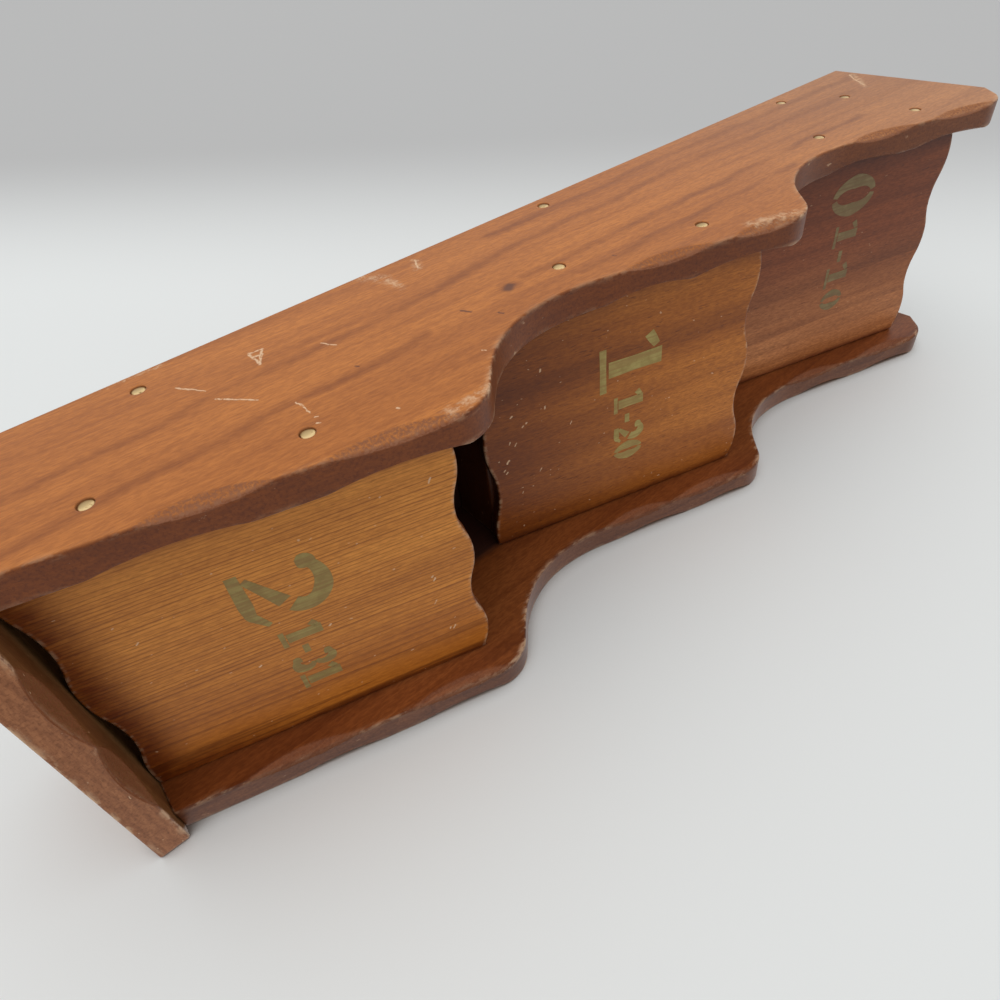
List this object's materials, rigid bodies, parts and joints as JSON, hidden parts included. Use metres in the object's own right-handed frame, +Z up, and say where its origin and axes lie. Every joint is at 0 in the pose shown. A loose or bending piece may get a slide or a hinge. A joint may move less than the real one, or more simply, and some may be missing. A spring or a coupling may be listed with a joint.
{
  "type": "wall-mounted letter rack",
  "caption": "Wall-mounted wooden letter rack: leaning pockets with scalloped front panels stacked between fretsawn, carved-edge sides, nailed with brass pins.",
  "frame": {"origin": "middle of the two wall screw holes, half way through the back board", "axes": "+X to the viewer's right, +Y into the wall, +Z up"},
  "size_m": [0.13, 0.095, 0.4585],
  "materials": {
    "side_wood": "orange-brown satin varnish",
    "panel_wood": "yellow-brown satin varnish",
    "inner_wood": "brown stain, thin varnish",
    "brass_nail": "aged, hammered heads"
  },
  "bodies": {
    "root": {"side_left": "side_wood", "side_right": "side_wood", "base_board": "side_wood", "front_panel_lower": "panel_wood", "front_panel_middle": "panel_wood", "front_panel_upper": "panel_wood", "back_board": "inner_wood", "pocket_floor_middle": "inner_wood", "pocket_floor_upper": "inner_wood", "top_rail": "inner_wood", "nails_lower_panel": "brass_nail", "nails_middle_panel": "brass_nail", "nails_upper_panel": "brass_nail", "nails_back_board": "brass_nail", "nails_top_rail": "brass_nail", "nails_base_board": "brass_nail", "nails_middle_floor": "brass_nail", "nails_upper_floor": "brass_nail"}
  },
  "joints": []
}
